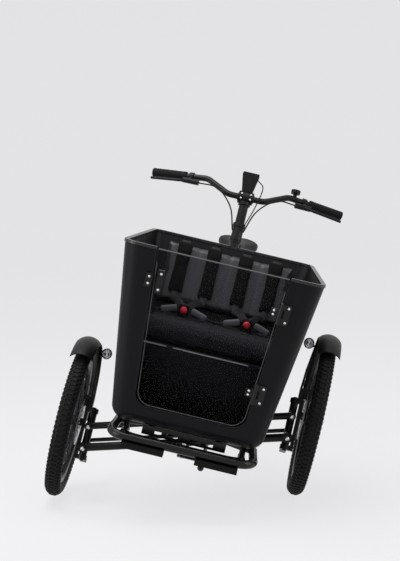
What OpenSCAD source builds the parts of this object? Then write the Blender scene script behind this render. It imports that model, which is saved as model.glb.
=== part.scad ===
// Tilting electric cargo tricycle, parked leaned on its tilt stop
// Front is -Y, up is +Z. Sizes are in mm. Names of sides are the rider's.

/* [Stance] */
// Sideways lean of frame, box and wheels where the tilt rests on its stop, in degrees
lean = 14; // [4:1:16]
// Distance between the front and rear axles
wheelbase = 1330; // [1250:10:1450]
// Distance between the two front wheels' middle planes
track = 810; // [800:5:900]
// Angle of the kingpins and of the steering column, in degrees
caster = 18; // [14:1:20]

/* [Wheels] */
// Outside diameter of the front tyres
front_tyre_d = 520; // [500:5:530]
// Outside diameter of the rear tyre
rear_tyre_d = 673; // [600:5:690]
// Width of all three tyres
tyre_w = 57; // [45:1:60]
// Number of spokes in a front wheel
front_spokes = 28; // [16:4:36]
// Number of spokes in the rear wheel
rear_spokes = 32; // [16:4:36]
// Diameter of the brake discs
disc_d = 160; // [140:10:160]

/* [Box] */
// Outside width of the box at the front of its rim
rim_front_w = 632; // [600:2:640]
// Outside width of the box at the back of its rim
rim_back_w = 580; // [560:2:600]
// Outside width of the box at the front of its floor
foot_w = 495; // [470:5:505]
// Height of the box's underside over the ground, upright
box_z0 = 268; // [262:1:280]
// Height of the rim over the ground, upright
box_z1 = 822; // [790:2:850]
// How far the rim's front lies ahead of the front axle
nose = 400; // [380:5:430]
// How far the rim's back lies behind the front axle
back = 370; // [350:5:400]
// Thickness of the box's wall
wall = 8; // [5:0.5:10]

/* [Handlebar] */
// Width of the handlebar over its ends
bar_w = 703; // [640:5:740]
// Height of the handlebar clamp over the ground, upright
clamp_z = 1005; // [970:5:1050]
// Rise of the bar from the clamp to the grips
bar_rise = 43; // [20:1:60]

/* [Hidden] */
// Finished for viewing; curved faces are true in the solid
$fn = 48;
rho = tyre_w / 2;
front_r = front_tyre_d / 2;
rear_r = rear_tyre_d / 2;
half_track = track / 2;
// Kingpin distance from the middle
king_x = half_track - 65;
// Heights of the lower and upper tilt pivots
low_z = 188;
up_z = 258;
// Kingpin line: 15 behind the axle at axle height
king_y = 15 - (front_r - low_z) * tan(caster);
up_y = king_y + (up_z - low_z) * tan(caster);
// Distance of a beam ahead of its posts
beam_y = 40;
// Angle of the beams to the ground and to the frame, in degrees
beam_tilt = -asin((65 / king_x) * sin(lean));
swing = beam_tilt - lean;
// Steering arm length and height of the rod's balls
arm = 80;
ball_y = king_y + arm / cos(caster);
ball_r = 11;
// Plane of a front brake disc
disc_x = half_track - 29;
// Column line at rim height
column_y = back + 48;
// Bottom bracket, seat and rear wheel
bb = [0, wheelbase - 480, 290];
seat_top = [0, wheelbase - 330, 720];
// Middle of the outline, taken off so that the origin lies under it
mid_x = 80;
mid_y = (wheelbase + rear_r + 22 - nose - 8) / 2;
// The box's shape
box_back0 = back - (box_z1 - box_z0) * tan(caster);
nose0 = nose - 50;
well_y = -102;
well_z = 365;
face_run = [nose - nose0 + 50, box_z1 - box_z0 - 50];
face_tilt = atan(face_run[0] / face_run[1]) - asin(50 / norm(face_run));
face_h = (box_z1 - box_z0) / cos(face_tilt);
// The door, in the plane of the box's front
door_top = 410;
door_low = 347;
door_z0 = 68;
door_h = face_h - door_z0;
door_edge = atan((door_top - door_low) / 2 / door_h);
door_gap = 5;
door_t = 5;
hinge_out = 7;
// Heights of the two hinges over the door's lower edge
hinge_low = 84;
hinge_high = 350;
// Belt line
belt_x = -52;
belt_big = 52;
belt_small = 26;

function unit(v) = v / norm(v);
function column_at(z) = [0, column_y + (z - box_z1) * tan(caster), z];
// Half width of the box's outside at a place
function box_half(y, z) =
    (foot_w + (rim_front_w - foot_w) * (z - box_z0) / (box_z1 - box_z0)) / 2
    - (rim_front_w - rim_back_w) / 2 * (y + nose) / (nose + back);
function back_at(z) = back - (box_z1 - z) * tan(caster);
// Inside of the sloped back, and its slope
back_run = [back - wall - box_back0 + 40, box_z1 + 3 - box_z0 - 40];
back_tilt = atan(back_run[0] / back_run[1]) - asin((40 - wall) / norm(back_run));
function inner_back(z) = back - wall - (box_z1 + 3 - z) * tan(back_tilt);

// Frame pose: leaned about the line where round tyres of one width would roll
module leaned() {
    translate([-mid_x, -mid_y, rho]) rotate([0, lean, 0]) translate([0, 0, -rho]) children();
}

// A beam's pose in the frame, about its middle pivot
module swung(y, z) {
    leaned() translate([0, y, z]) rotate([0, swing, 0]) children();
}

// A front wheel's parts ride up or down with the beams' ends
module carried(side) {
    leaned() translate([side * king_x * (cos(swing) - 1), 0, -side * king_x * sin(swing)]) children();
}

// Along a kingpin, from the height of the lower pivot
module at_king(x) {
    translate([x, king_y, low_z]) rotate([-caster, 0, 0]) children();
}

// Along the steering column, from the handlebar clamp
module at_column(z) {
    translate(column_at(z)) rotate([-caster, 0, 0]) children();
}

// On the plane of the box's front, from the middle of its lower edge
module at_face() {
    translate([0, (box_z1 - box_z0) * tan(face_tilt) - nose, box_z0]) rotate([face_tilt, 0, 0]) children();
}

// Along the door's hinge line
module at_hinge() {
    at_face() translate([door_low / 2 + door_gap / 2, -hinge_out, door_z0]) rotate([0, door_edge, 0]) children();
}

// A straight round bar
module rod(p, q, r) {
    d = q - p;
    l = norm(d);
    translate(p) rotate([0, acos(d[2] / l), atan2(d[1], d[0])]) cylinder(h = l, r = r);
}

// A cylinder along X, Y
module across(x, y, z, r, w) {
    translate([x, y, z]) rotate([0, 90, 0]) cylinder(h = w, r = r, center = true);
}

module along(x, y, z, r, w) {
    translate([x, y, z]) rotate([90, 0, 0]) cylinder(h = w, r = r, center = true);
}

// One bend of a tube
module elbow(corner, d1, d2, turn, r, bend) {
    w = unit(cross(d1, d2));
    inward = cross(w, d1);
    c = corner - d1 * bend * tan(turn / 2) + inward * bend;
    u = -inward;
    multmatrix([[u[0], d1[0], w[0], c[0]], [u[1], d1[1], w[1], c[1]], [u[2], d1[2], w[2], c[2]], [0, 0, 0, 1]])
        rotate_extrude(angle = turn) translate([bend, 0]) circle(r);
}

// A round tube through the points, its corners bent
module pipe(points, r, bend) {
    n = len(points);
    dirs = [for (i = [0 : n - 2]) unit(points[i + 1] - points[i])];
    turns = [for (i = [0 : n - 3]) acos(min(1, max(-1, dirs[i] * dirs[i + 1])))];
    cuts = concat([0], [for (t = turns) bend * tan(t / 2)], [0]);
    for (i = [0 : n - 2])
        rod(points[i] + dirs[i] * (cuts[i] - (i > 0 ? 1 : 0)),
            points[i + 1] - dirs[i] * (cuts[i + 1] - (i < n - 2 ? 1 : 0)), r);
    for (i = [0 : n - 3])
        elbow(points[i + 1], dirs[i], dirs[i + 1], turns[i], r + 0.2, bend);
}

// A block with rounded edges
module soft_block(size, r) {
    hull() {
        for (x = [-1, 1], y = [-1, 1], z = [-1, 1])
            translate([x * (size[0] / 2 - r), y * (size[1] / 2 - r), z * (size[2] / 2 - r)]) sphere(r, $fn = 16);
    }
}

// Seat tube's line and slope
seat_slope = atan((seat_top[1] - bb[1] - 20) / (seat_top[2] - 360));

// Head tube, down tube, top tube, seat tube and the cradle over the motor
module main_frame() {
    color("#1b1c1e") leaned() difference() {
        union() {
            at_column(300) cylinder(h = (box_z1 - 340) / cos(caster), r = 24);
            rod(column_at(400), [0, bb[1] - 60, 381], 27);
            rod(column_at(640), [0, bb[1] + 95, 520], 20);
            rod([0, bb[1] + 20, 360], seat_top, 18);
            translate([-34, bb[1] - 84, 352]) cube([68, 150, 34]);
        }
        at_column(290) cylinder(h = 600, r = 17.05);
        translate(seat_top) rotate([-seat_slope, 0, 0]) translate([0, 0, -200]) cylinder(h = 240, r = 13.65);
    }
}

// Tilt post with its pins, the spine to the head tube, risers ahead of the beams and rails under the box
module tilt_frame() {
    rail_z = box_z0 - 13.1;
    color("#1b1c1e") leaned() {
        difference() {
            union() {
                at_king(0) translate([0, 0, -34]) cylinder(h = 176, r = 16);
                rod([0, 12, 330], column_at(340), 22);
                for (s = [-1, 1]) {
                    rod([s * 110, -nose0 + 40, rail_z], [s * 110, -80, rail_z], 12.5);
                    rod([s * 45, -88, rail_z], [s * 45, -88, 330], 12);
                    translate([s * 45, -88, 330]) sphere(12.6);
                    rod([s * 45, -88, 330], [0, 60, 330], 11.5);
                }
                rod([-116, -88, rail_z], [116, -88, rail_z], 11.6);
                rod([-116, -nose0 + 150, rail_z], [116, -nose0 + 150, rail_z], 11.6);
                rod([-130, 110, well_z - 12.8], [130, 110, well_z - 12.8], 12.5);
            }
            at_column(240) cylinder(h = 300, r = 24);
        }
        at_king(0) translate([0, 0, -54]) cylinder(h = 22, r = 7);
        pivots(0, 16);
    }
}

// Stays, dropouts and the rear axle
module rear_frame() {
    color("#1b1c1e") leaned() difference() {
        union() {
            for (s = [-1, 1]) {
                rod([s * 24, bb[1] + 40, 371], [s * 75.5, wheelbase - 34, rear_r + 50], 10.8);
                rod([s * 18, bb[1] + 132, 662], [s * 76, wheelbase - 32, rear_r + 52], 9);
                translate([s * 76 - 5, wheelbase - 52, rear_r - 20]) cube([10, 72, 86]);
                across(s * 86, wheelbase, rear_r, 13, 10);
            }
            across(0, wheelbase, rear_r, 8, 170);
        }
        translate([-34, bb[1] - 84, 352]) cube([68, 150, 34]);
        rod([0, bb[1] + 20, 360], seat_top, 18);
    }
}

// Two pins ahead of a post for the beams, each with a shoulder and a cap
module pivots(x, post_r) {
    for (p = [[king_y, low_z], [up_y, up_z]]) {
        along(x, p[0] - 30, p[1], 7, 60);
        along(x, p[0] - 12, p[1], 9.5, 24.5);
        along(x, p[0] - 60, p[1], 12, 8);
    }
}

// The box's outside, or its inside when drawn in by the wall
module box_form(inset) {
    r = 55 - inset;
    hull() {
        for (s = [-1, 1]) {
            translate([s * (box_half(-nose, box_z1) - 55), -nose + 55, box_z1 - 1 + (inset > 0 ? 4 : 0)])
                cylinder(h = 1, r = r, $fn = 40);
            translate([s * (box_half(back, box_z1) - 40), back - 40, box_z1 - 1 + (inset > 0 ? 4 : 0)])
                cylinder(h = 1, r = 40 - inset, $fn = 32);
            translate([s * (foot_w / 2 - 50), -nose0 + 50, box_z0 + 50]) sphere(50 - inset, $fn = 40);
            translate([s * (box_half(box_back0, box_z0) - 40), box_back0 - 40, box_z0 + 40]) sphere(40 - inset, $fn = 32);
        }
    }
}

// Hollow tub: a footwell ahead of the axle, a raised bottom over the tilt beams
module box_shell() {
    color("#2b2c2e") leaned() difference() {
        box_form(0);
        translate([-400, well_y, 0]) cube([800, 800, well_z]);
        difference() {
            box_form(wall);
            translate([-400, well_y - wall, 0]) cube([800, 800, well_z + wall]);
        }
        // Way out at the front for the door
        at_face() door_outline(door_gap, 90);
    }
}

// The door's outline as a block through the front
module door_outline(grow, deep) {
    r = 45;
    a = door_low / 2;
    b = door_top / 2;
    translate([0, deep / 2, door_z0 - grow]) rotate([90, 0, 0]) linear_extrude(deep) union() {
        polygon([[-a - grow, r], [a + grow, r], [b + grow, door_h + grow + 2], [-b - grow, door_h + grow + 2]]);
        translate([-a - grow + r, 0]) square([2 * (a + grow - r), r + 1]);
        for (s = [-1, 1]) translate([s * (a + grow - r), r]) circle(r);
    }
}

// Edging along the rim, open where the door is
module box_rim() {
    color("#232426") leaned() difference() {
        hull() {
            for (s = [-1, 1]) {
                translate([s * (box_half(-nose, box_z1) - 55), -nose + 55, box_z1]) cylinder(h = 9, r = 58, $fn = 40);
                translate([s * (box_half(back, box_z1) - 40), back - 40, box_z1]) cylinder(h = 9, r = 43, $fn = 32);
            }
        }
        hull() {
            for (s = [-1, 1]) {
                translate([s * (box_half(-nose, box_z1) - 55), -nose + 55, box_z1 - 5]) cylinder(h = 30, r = 44, $fn = 40);
                translate([s * (box_half(back, box_z1) - 40), back - 40, box_z1 - 5]) cylinder(h = 30, r = 29, $fn = 32);
            }
        }
        translate([-door_top / 2 - door_gap - 1, -nose - 40, box_z1 - 20]) cube([door_top + 2 * door_gap + 2, 120, 60]);
    }
}

// Mat on the footwell's floor
module floor_mat() {
    color("#3a3b3c") leaned() translate([-175, -nose0 + 62, box_z0 + wall + 0.3]) cube([350, nose0 - 66 + well_y - wall, 5]);
}

// Panel under the cushion, standing on the raised bottom
module bench() {
    color("#26272a") leaned() translate([0, 0, well_z + wall]) difference() {
        linear_extrude(125) bench_plan(0);
        translate([0, 0, -1]) linear_extrude(116) bench_plan(10);
    }
}

module bench_plan(t) {
    y0 = well_y - wall + t;
    y1 = back_at(well_z) - 28 - t;
    w0 = box_half(well_y, well_z) - wall - 13 - t;
    w1 = box_half(back_at(well_z), well_z) - wall - 16 - t;
    polygon([[-w0, y0], [w0, y0], [w1, y1], [-w1, y1]]);
}

seat_z = well_z + wall + 125;

module seat_cushion() {
    color("#3b3d40") leaned() translate([0, 62, seat_z + 0.5]) hull() for (x = [-1, 1], y = [-1, 1]) {
        translate([x * 206, y * 112, 14]) cylinder(h = 44, r = 36, $fn = 24);
        translate([x * 206, y * 112, 0]) cylinder(h = 73, r = 20, $fn = 24);
    }
}

// Padding on the sloped back of the box
module seat_back() {
    color("#4a4c50") leaned() translate([0, inner_back(700) - 17.7 / cos(back_tilt), 700]) rotate([-back_tilt, 0, 0])
        soft_block([470, 34, 236], 15);
}

// Four pads of the shoulder belts, hung over the top of the padding
module shoulder_pads() {
    color("#1d1e20") leaned() for (x = [-163, -57, 57, 163]) {
        translate([x, inner_back(725) - 46.3 / cos(back_tilt), 725]) rotate([-back_tilt, 0, 0])
            soft_block([58, 22, 190], 9);
    }
}

module lap_pads() {
    color("#6d7074") leaned() for (x = [-110, 110], s = [-1, 1])
        translate([x + s * 52, 118, seat_z + 95.2]) rotate([0, s * 18, 0]) soft_block([62, 30, 26], 8);
}

module buckles() {
    color("#17181a") leaned() for (x = [-110, 110])
        translate([x, 104, seat_z + 99]) soft_block([38, 24, 50], 8);
}

module buckle_buttons() {
    color("#c01820") leaned() for (x = [-110, 110]) along(x, 89.5, seat_z + 102, 8, 5);
}

// Hinge leaves and latch keeper on the box's front
module door_fittings() {
    color("#141516") leaned() {
        for (h = [hinge_low, hinge_high]) at_hinge() translate([0, 0, h]) {
            difference() {
                union() {
                    for (e = [0, 46]) translate([0, 0, e]) cylinder(h = 20, r = 6.5);
                    translate([3, 1.5, 0]) cube([28, 5, 20]);
                    translate([3, 1.5, 46]) cube([28, 5, 20]);
                    translate([12, 1.5, 0]) cube([19, 5, 66]);
                }
                translate([0, 0, -1]) cylinder(h = 70, r = 3);
            }
            cylinder(h = 66, r = 3);
        }
        at_face() translate([-door_low / 2 - 52, -11, door_z0 + 371]) cube([22, 10.5, 44]);
    }
}

// Two bent tubes round the foot of the box
module front_bumper() {
    color("#1b1c1e") leaned() {
        y = -nose0 - 2;
        z = box_z0 - 40;
        pipe([[-222, y + 150, z + 16], [-232, y - 20, z], [232, y - 20, z], [222, y + 150, z + 16]], 14, 56);
        pipe([[-190, y + 120, z - 4], [-194, y + 24, z - 4], [194, y + 24, z - 4], [190, y + 120, z - 4]], 12, 46);
        for (s = [-1, 1]) {
            translate([s * 222, y + 150, z + 16]) sphere(14.6);
            rod([s * 222, y + 150, z + 16], [s * 124.6, y + 160, z + 26], 12);
            translate([s * 190, y + 120, z - 4]) sphere(12.6);
            rod([s * 190, y + 120, z - 4], [s * 190, y + 120, box_z0 - 0.3], 10);
            rod([s * 60, y - 20, z], [s * 60, y + 24, z - 4], 8);
        }
        // Slotted plate ahead of the rails
        difference() {
            translate([-135, -nose0 + 36.5, box_z0 - 30]) cube([270, 3, 29.6]);
            for (c = [[-55, 36], [19, 36], [72, 22], [-94, 22]])
                translate([c[0], -nose0 + 30, box_z0 - 22]) cube([c[1], 20, 9]);
            for (s = [-1, 1]) along(s * 113, -nose0 + 38, box_z0 - 18, 3.5, 20);
        }
    }
}

// Flat rubber blocks under the lower tube
module bumper_steps() {
    color("#161718") leaned() for (s = [-1, 1])
        translate([s * 118 - 68, -nose0 - 44, box_z0 - 72]) cube([136, 44, 17.7]);
}

module motor() {
    color("#17181a") leaned() difference() {
        union() {
            across(0, bb[1], bb[2], 61.5, 76);
            across(0, bb[1] - 62, bb[2] + 16, 45, 84);
            translate([-38, bb[1] - 62, bb[2] - 20]) cube([76, 60, 80]);
        }
        across(0, bb[1], bb[2], 11.1, 200);
    }
}

module battery() {
    color("#202124") leaned() {
        p = column_at(400);
        q = [0, bb[1] - 60, 381];
        translate((p + q) / 2) rotate([atan2(q[2] - p[2], q[1] - p[1]), 0, 0]) translate([0, 20, 27.3 + 36])
            soft_block([84, 330, 72], 12);
    }
}

module seat_post() {
    color("#101113") leaned() {
        translate(seat_top) rotate([-seat_slope, 0, 0])
            translate([0, 0, -150]) cylinder(h = 190, r = 13.6);
        translate([-15, seat_top[1] - 12, seat_top[2] + 30]) cube([30, 56, 17]);
    }
}

module saddle() {
    color("#151517") leaned() translate([0, seat_top[1] + 30, seat_top[2] + 47]) hull() {
        for (s = [-1, 1]) {
            translate([s * 62, 70, 38]) sphere(22, $fn = 24);
            translate([s * 66, 60, 16]) sphere(16, $fn = 20);
            translate([s * 30, -40, 32]) sphere(18, $fn = 20);
        }
        translate([0, -145, 28]) sphere(20, $fn = 24);
        translate([0, -130, 14]) sphere(13, $fn = 20);
    }
}

// A curved strip over a wheel: angles from the top, backwards
module fender_strip(r, half, from, to) {
    rotate([0, 0, 90]) rotate([90, 0, 0]) rotate([0, 0, 90 - to]) rotate_extrude(angle = to - from) intersection() {
        difference() {
            translate([r - 46, 0]) circle(49);
            translate([r - 46, 0]) circle(46);
        }
        translate([r - 22, -half]) square([40, 2 * half]);
    }
}

module rear_fender() {
    color("#18191b") leaned() {
        translate([0, wheelbase, rear_r]) fender_strip(rear_r + 15, 36, -34, 112);
        for (s = [-1, 1]) {
            across(s * 85.2, wheelbase + 8, rear_r + 48, 6, 8);
            pipe([[s * 86, wheelbase + 8, rear_r + 48], [s * 86, wheelbase + 80, rear_r + 112],
                [s * 34, wheelbase + 256, rear_r + 222]], 3, 30);
            pipe([[s * 86, wheelbase + 8, rear_r + 48], [s * 86, wheelbase - 2, rear_r + 140],
                [s * 34, wheelbase - 66, rear_r + 332]], 3, 30);
        }
    }
}

module rear_lamp() {
    color("#a01218") leaned() translate([0, wheelbase, rear_r]) rotate([-72, 0, 0])
        translate([-22, -14, rear_r + 18.6]) cube([44, 28, 18]);
}

// Toothed belt round the two pulleys, drawn as a plain band
module drive_belt() {
    color("#0f1011") leaned() translate([belt_x - 6, 0, 0]) {
        p = [bb[1], bb[2]];
        q = [wheelbase, rear_r];
        l = norm(q - p);
        t = asin((belt_big - belt_small) / l);
        a = atan2(q[1] - p[1], q[0] - p[0]);
        translate([0, p[0], p[1]]) rotate([a, 0, 0]) rotate([90, 0, 90]) linear_extrude(12) difference() {
            belt_line(l, t, 4.3);
            belt_line(l, t, 0.3);
        }
    }
}

module belt_line(l, t, g) {
    a = belt_big + g;
    b = belt_small + g;
    polygon(concat([for (i = [0 : 24]) let (w = 90 - t + i * (180 + 2 * t) / 24) a * [cos(w), sin(w)]],
        [for (i = [0 : 16]) let (w = t - 90 + i * (180 - 2 * t) / 16) [l, 0] + b * [cos(w), sin(w)]]));
}

module rear_calliper() {
    color("#1c1d1f") leaned() difference() {
        translate([50, wheelbase - 96, rear_r - 32]) cube([20.7, 52, 44]);
        across(59, wheelbase, rear_r, disc_d / 2 + 4, 5);
    }
}

// Column with its foot lever, collars and the bar's clamp
module steering_column() {
    color("#1a1b1d") leaned() {
        low = 190;
        at_column(low) cylinder(h = (clamp_z - low) / cos(caster) - 19, r = 17);
        at_column(box_z1 - 30) cylinder(h = 24, r = 24);
        at_column(box_z1 + 18) cylinder(h = 70, r = 20);
        at_column(box_z1 + 26) cylinder(h = 14, r = 23);
        at_column(box_z1 + 74) cylinder(h = 14, r = 23);
        at_column(clamp_z) {
            rotate([0, 90, 0]) difference() {
                cylinder(h = 54, r = 23, center = true);
                cylinder(h = 60, r = 16.1, center = true);
            }
            translate([0, 0, -30]) cylinder(h = 12, r = 22);
        }
        // Foot lever to the left, with a flat-topped stud
        at_column(low) {
            translate([0, 0, -16]) cylinder(h = 18, r = 24);
            translate([0, -12, -16]) cube([70, 24, 12]);
            translate([70, 0, -16]) cylinder(h = 12, r = 12);
        }
    }
}

function bar_points() = [[-bar_w / 2, 74, bar_rise - 6], [-150, 16, bar_rise], [-66, 0, 0], [66, 0, 0],
    [150, 16, bar_rise], [bar_w / 2, 74, bar_rise - 6]];

module handlebar() {
    color("#141516") leaned() at_column(clamp_z) {
        pipe(bar_points(), 11.1, 55);
        across(0, 0, 0, 15.9, 60);
    }
}

// Place along the bar's outer straight, from its end inwards
module on_bar(side, from_end) {
    p = bar_points();
    d = unit(p[4] - p[5]);
    o = p[5] + d * from_end;
    leaned() at_column(clamp_z) translate([side * o[0], o[1], o[2]])
        rotate([0, acos(d[2]), side > 0 ? atan2(d[1], d[0]) : atan2(d[1], -d[0])]) children();
}

module grips() {
    color("#2c2d2f") for (s = [-1, 1]) on_bar(s, -4) difference() {
        cylinder(h = 132, r = 16.5);
        translate([0, 0, 4]) cylinder(h = 140, r = 11.2);
    }
}

module brake_levers() {
    color("#101112") for (s = [-1, 1]) on_bar(s, 140) {
        difference() {
            cylinder(h = 16, r = 16);
            translate([0, 0, -1]) cylinder(h = 30, r = 11.2);
        }
        rod([24, s * 30, -14], [28, s * 26, 46], 10);
        rod([15, s * 17, 8], [26, s * 28, 10], 8);
        pipe([[26, s * 32, 14], [34, s * 50, -24], [38, s * 54, -128]], 5, 30);
    }
}

module display_holder() {
    color("#17181a") leaned() at_column(clamp_z) rotate([90, 0, 0]) translate([0, 0, -8]) linear_extrude(14)
        polygon([[-20, 23.3], [20, 23.3], [31, 86], [29, 96], [-29, 96], [-31, 86]]);
}

module bell() {
    color("#121314") leaned() at_column(clamp_z) {
        translate([172, 22, bar_rise + 11.4]) cylinder(h = 10, r = 7);
        translate([172, 22, bar_rise + 21]) cylinder(h = 13, r = 17);
    }
}

// Brake hoses and display cable, held to the column
module hoses() {
    color("#0c0d0e") leaned() at_column(clamp_z) {
        pipe([[179, -3, 14.4], [110, -34, 4], [19.4, -13, -132]], 2.5, 40);
        pipe([[-179, -3, 14.4], [-104, -32, 2], [-19.4, -13, -132]], 2.5, 40);
        pipe([[30, -6.6, 72], [66, -30, 24], [12, -20.6, -128]], 2, 24);
    }
}

// Link from the column's lever to the idler, its balls over the levers' studs
module drag_link() {
    color("#232527") leaned() {
        a = column_at(190) + [70, -27.3 * sin(caster), -27.3 * cos(caster)];
        b = [70, king_y - 79.3 * sin(caster), low_z - 79.3 * cos(caster)];
        rod(a, b, 7);
        for (p = [a, b]) translate(p) sphere(ball_r);
    }
}

// Lever under the tilt post that swings the track rod
module steering_idler() {
    color("#1b1c1e") leaned() at_king(0) {
        drop = arm * tan(caster) - ball_r - 0.3;
        difference() {
            union() {
                translate([0, 0, -61]) cylinder(h = 26.5, r = 17);
                translate([-9, 0, -50]) cube([18, arm, 12]);
                translate([0, -9, -61]) cube([70, 18, 10]);
                translate([0, arm, -50]) cylinder(h = 12, r = 11);
                translate([70, 0, -61]) cylinder(h = 10, r = 12);
            }
            translate([0, 0, -70]) cylinder(h = 50, r = 7.05);
        }
        translate([0, arm, -40]) cylinder(h = 34 + drop, r = 5);
        translate([70, 0, -68]) cylinder(h = 10, r = 5);
    }
}

// Seat of the track rod's middle ball, turning on the idler's stud
module rod_shackle() {
    color("#2a2c2e") leaned() at_king(0) {
        drop = arm * tan(caster) - ball_r - 0.3;
        translate([0, arm, drop - 5.7]) cylinder(h = 5.7, r = 6.5);
    }
}

module track_rod() {
    color("#232527") swung(ball_y, low_z) {
        across(0, 0, 0, 7, 2 * king_x);
        for (x = [-king_x, 0, king_x]) translate([x, 0, 0]) rotate([0, 0, 90]) sphere(ball_r);
    }
}

// A cross beam on three pins
module tilt_beam(r, eye) {
    difference() {
        union() {
            across(0, 0, 0, r, 2 * king_x - 12);
            for (x = [-king_x, 0, king_x]) along(x, 0, 0, eye, 30);
        }
        for (x = [-king_x, 0, king_x]) along(x, 0, 0, 7.05, 60);
    }
}

module lower_beam() {
    color("#1d1e20") swung(king_y - beam_y, low_z) tilt_beam(13.5, 17);
}

module upper_beam() {
    color("#1d1e20") swung(up_y - beam_y, up_z) tilt_beam(11.5, 13);
}

// Post that the beams carry and the knuckle turns about
module upright(side) {
    color("#1b1c1e") carried(side) {
        at_king(side * king_x) {
            translate([0, 0, -34]) cylinder(h = 144, r = 13);
            translate([0, 0, -54]) cylinder(h = 184, r = 7);
        }
        pivots(side * king_x, 13);
    }
}

module upright_left() {
    upright(1);
}

module upright_right() {
    upright(-1);
}

// Wheel carrier: two lugs, a web, the axle, the steering arm and the calliper's bracket
module knuckle(side) {
    color("#222326") carried(side) {
        difference() {
            union() {
                at_king(side * king_x) {
                    translate([0, 0, -50]) cylinder(h = 15.5, r = 16);
                    translate([0, 0, 110.5]) cylinder(h = 15.5, r = 16);
                    for (z = [-50, 110.5]) translate([side > 0 ? 0 : -24, -11, z]) cube([24, 22, 15.5]);
                    translate([side > 0 ? 16.5 : -28, -11, -50]) cube([11.5, 22, 176]);
                    translate([side > 0 ? 8 : -24.2, -6, 118]) cube([16.2, 26, 46]);
                    // Steering arm under the rod's ball
                    translate([-9, 0, -50]) cube([18, arm, 12]);
                    translate([0, arm, -50]) cylinder(h = 12, r = 11);
                }
            }
            at_king(side * king_x) translate([0, 0, -60]) cylinder(h = 200, r = 7.05);
        }
        drop = arm * tan(caster) - ball_r - 0.3;
        at_king(side * king_x) translate([0, arm, -40]) cylinder(h = 40 + drop, r = 5);
        across(side * (king_x + 30.2), 0, front_r, 13, 8.4);
        across(side * (half_track - 1), 0, front_r, 8, 74);
        across(side * (half_track + 36), 0, front_r, 12, 8);
    }
}

module knuckle_left() {
    knuckle(1);
}

module knuckle_right() {
    knuckle(-1);
}

module calliper(side) {
    color("#191a1c") carried(side) difference() {
        at_king(side * king_x) translate([side > 0 ? 24.5 : -43.2, -16, 128]) cube([18.7, 42, 37]);
        across(side * disc_x, 0, front_r, disc_d / 2 + 4, 4.4);
    }
}

module calliper_left() {
    calliper(1);
}

module calliper_right() {
    calliper(-1);
}

module front_fender(side) {
    color("#17181a") carried(side) {
        translate([side * half_track, 0, front_r]) fender_strip(front_r + 24, 38, -30, 100);
        at_king(side * king_x) translate([side * 12, 7, 164]) cylinder(h = 7, r = 4);
        pipe([foot_at(side, 169), [side * (half_track - 50), 46, front_r + 150],
            [side * (half_track - 36), 52, front_r + 262]], 3.5, 40);
        pipe([foot_at(side, 169), [side * (half_track - 48), 74, front_r + 96],
            [side * (half_track - 36), 248, front_r + 84]], 3, 30);
    }
}

// A place over the knuckle's bracket
function foot_at(side, h) = [side * (king_x + 12), king_y + 7 * cos(caster) + h * sin(caster),
    low_z - 7 * sin(caster) + h * cos(caster)];

module fender_left() {
    front_fender(1);
}

module fender_right() {
    front_fender(-1);
}

module headlamp(side) {
    color("#c9cdd2") carried(side) {
        along(side * (half_track - 64), 44, front_r + 240, 18, 34);
        rod([side * (half_track - 56), 46, front_r + 232], [side * (half_track - 44), 50, front_r + 232], 4);
    }
}

module headlamp_left() {
    headlamp(1);
}

module headlamp_right() {
    headlamp(-1);
}

// A tyre's ring about X
module tyre(r) {
    rotate([0, 90, 0]) rotate_extrude() difference() {
        translate([r - rho, 0]) circle(rho);
        translate([r - 2 * rho - 10, -rho]) square([19.2, 2 * rho]);
    }
}

module front_tyre(side) {
    color("#1a1a1b") carried(side) translate([side * half_track, 0, front_r]) tyre(front_r);
}

module tyre_left() {
    front_tyre(1);
}

module tyre_right() {
    front_tyre(-1);
}

// Rim, crossed spokes and a hub with two flanges, about X
module spoked(r, count, flange, hub_r, half) {
    seat = r - 2 * rho + 9;
    rotate([0, 90, 0]) {
        rotate_extrude() polygon([[seat, -18], [seat, 18], [seat - 14, 15], [seat - 20, 8], [seat - 20, -8], [seat - 14, -15]]);
        difference() {
            union() {
                cylinder(h = 2 * half, r = hub_r, center = true);
                for (s = [-1, 1]) translate([0, 0, s * flange]) cylinder(h = 5, r = 27, center = true);
            }
            cylinder(h = 200, r = 8.05, center = true);
        }
    }
    for (i = [0 : count - 1]) {
        s = i % 2 == 0 ? 1 : -1;
        turn = i % 4 < 2 ? 42 : -42;
        a = i * 360 / count;
        rod([s * flange, 24 * cos(a + turn), 24 * sin(a + turn)], [s * 3, (seat - 16) * cos(a), (seat - 16) * sin(a)], 1.3);
    }
}

module front_wheel(side) {
    color("#2a2c2e") carried(side) translate([side * half_track, 0, front_r]) spoked(front_r, front_spokes, 20, 17, 30);
}

module wheel_left() {
    front_wheel(1);
}

module wheel_right() {
    front_wheel(-1);
}

// Brake disc about X with a ring of holes
module disc() {
    rotate([0, 90, 0]) linear_extrude(2, center = true) difference() {
        circle(disc_d / 2);
        circle(17.1);
        for (i = [0 : 5]) rotate(i * 60) translate([disc_d / 2 - 38, 0]) circle(13);
        for (i = [0 : 23]) rotate(i * 15) translate([disc_d / 2 - (i % 2 == 0 ? 7 : 12), 0]) circle(2.4);
    }
}

module front_disc(side) {
    color("#a9adb1") carried(side) translate([side * disc_x, 0, front_r]) disc();
}

module disc_left() {
    front_disc(1);
}

module disc_right() {
    front_disc(-1);
}

module rear_tyre() {
    color("#1a1a1b") leaned() translate([0, wheelbase, rear_r]) tyre(rear_r);
}

// Rear wheel with its small pulley
module rear_wheel() {
    color("#2a2c2e") leaned() {
        difference() {
            translate([0, wheelbase, rear_r]) spoked(rear_r, rear_spokes, 28, 17, 68);
            across(0, wheelbase, rear_r, 8.05, 300);
        }
        difference() {
            across(belt_x, wheelbase, rear_r, belt_small, 14);
            across(belt_x, wheelbase, rear_r, 8.05, 60);
        }
    }
}

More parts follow.
